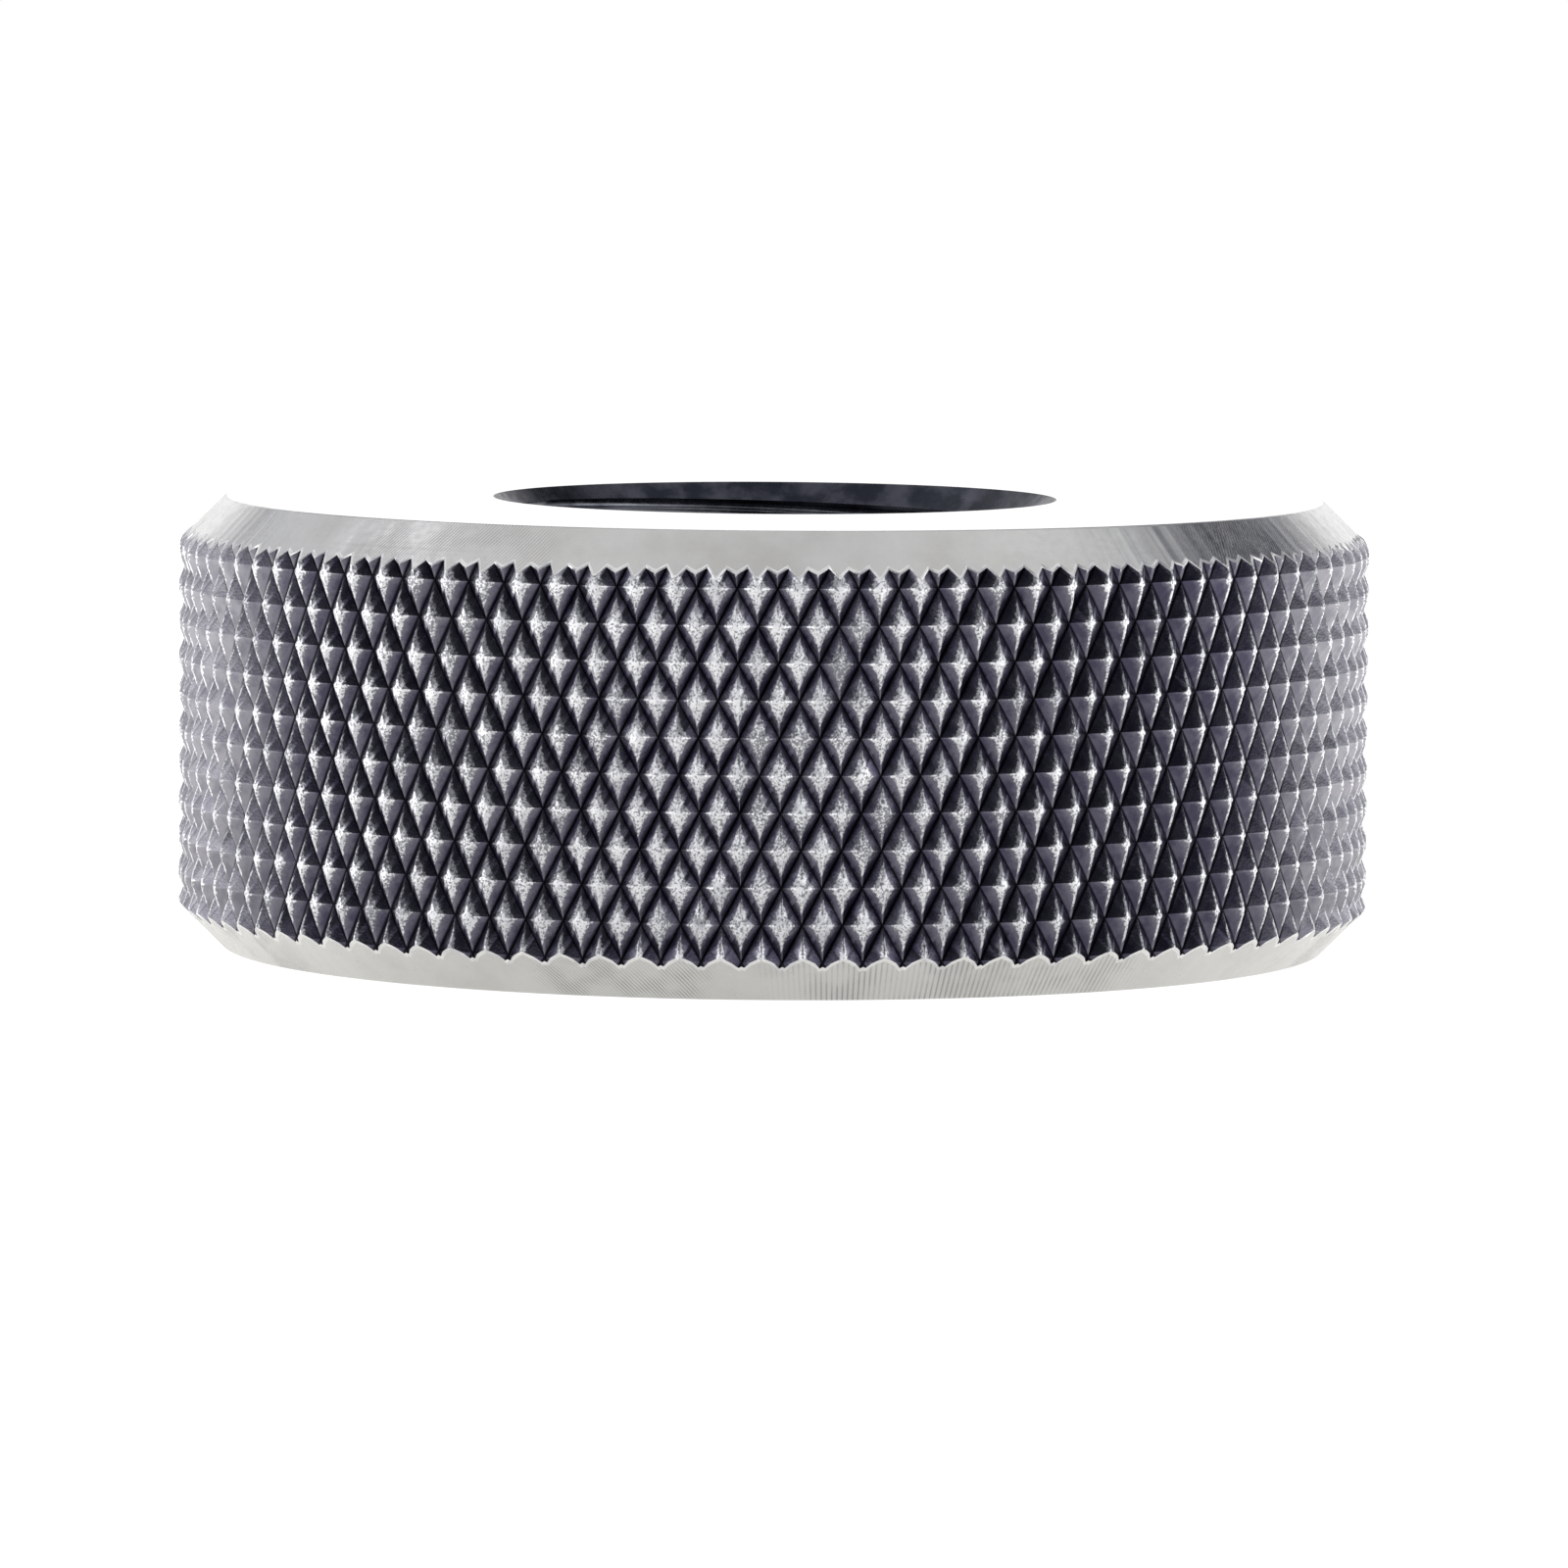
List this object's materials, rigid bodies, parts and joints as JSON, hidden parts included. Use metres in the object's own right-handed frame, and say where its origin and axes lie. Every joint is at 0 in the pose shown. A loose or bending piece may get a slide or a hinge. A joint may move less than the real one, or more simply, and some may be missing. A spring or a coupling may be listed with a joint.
{
  "type": "thread ring gauge",
  "caption": "Round steel ring gauge with a coarse threaded bore, countersunk mouths, lapped faces, chamfered edges and a diamond-knurled rim, for checking external threads.",
  "frame": {"origin": "centre of the lower lapped face", "axes": "+Z along the ring's axis, out of the upper face; the ring is round, so X and Y are free"},
  "size_m": [0.053, 0.053, 0.02],
  "materials": {
    "gauge_steel": "hardened gauge steel, lapped on the faces, fine turned on the chamfers, rolled diamond knurl on the rim"
  },
  "bodies": {
    "root": {"gauge_ring": "gauge_steel"}
  },
  "joints": []
}
